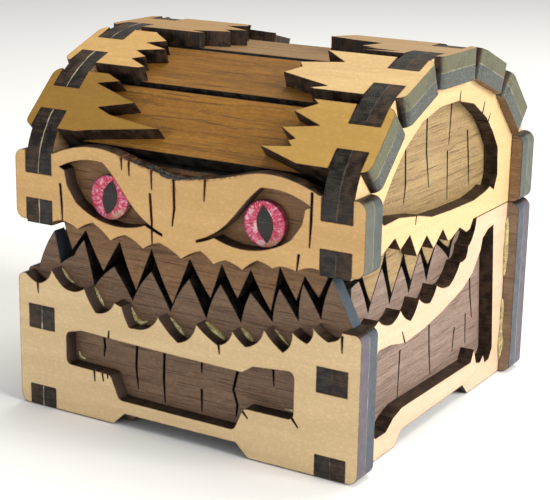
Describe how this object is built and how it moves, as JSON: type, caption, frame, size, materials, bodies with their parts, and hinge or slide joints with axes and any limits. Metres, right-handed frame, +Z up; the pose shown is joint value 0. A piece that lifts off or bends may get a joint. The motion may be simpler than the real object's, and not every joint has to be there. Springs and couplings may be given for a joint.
{
  "type": "dice storage chest",
  "caption": "Small two-part storage chest of double wooden sheets, with an arched slatted lid that hinges open along a toothed mouth, and glass eyes.",
  "frame": {"origin": "middle of the whole footprint, hinges and eyes included, on the surface that the feet stand on", "axes": "+X to the right of someone facing the mouth, +Y from the mouth towards the hinges, +Z up"},
  "size_m": [0.0802, 0.0824, 0.0765],
  "materials": {
    "walnut": "oiled walnut sheet with charred edges",
    "maple": "oiled pale plywood with charred edges",
    "glass": "clear polished dome",
    "card": "printed card",
    "brass": "plain brass"
  },
  "bodies": {
    "box": {"body_back_inner": "walnut", "body_back_outer": "maple", "body_front_inner": "walnut", "body_front_outer": "maple", "body_left_inner": "walnut", "body_left_outer": "maple", "body_right_inner": "walnut", "body_right_outer": "maple", "floor_panel": "walnut", "hinge_leaf_body_left": "brass", "hinge_leaf_body_right": "brass", "hinge_nails_body": "brass", "hinge_pin_left": "brass", "hinge_pin_right": "brass"},
    "lid": {"eye_glass_left": "glass", "eye_glass_right": "glass", "hinge_leaf_lid_left": "brass", "hinge_leaf_lid_right": "brass", "hinge_nails_lid": "brass", "iris_card_left": "card", "iris_card_right": "card", "lid_back_inner": "walnut", "lid_back_outer": "maple", "lid_front_inner": "walnut", "lid_front_outer": "maple", "lid_left_inner": "walnut", "lid_left_outer": "maple", "lid_right_inner": "walnut", "lid_right_outer": "maple", "lid_slat_1": "walnut", "lid_slat_2": "walnut", "lid_slat_3": "walnut", "lid_slat_4": "walnut", "lid_slat_5": "walnut", "slat_cap_left_1": "maple", "slat_cap_left_2": "maple", "slat_cap_left_3": "maple", "slat_cap_left_4": "maple", "slat_cap_left_5": "maple", "slat_cap_right_1": "maple", "slat_cap_right_2": "maple", "slat_cap_right_3": "maple", "slat_cap_right_4": "maple", "slat_cap_right_5": "maple"}
  },
  "joints": [
    {"name": "lid_hinge", "type": "hinge", "parent": "box", "child": "lid", "pos_m": [0, 0.0399, 0.03945], "axis": [-1, 0, 0], "range_deg": [0, 110]}
  ]
}
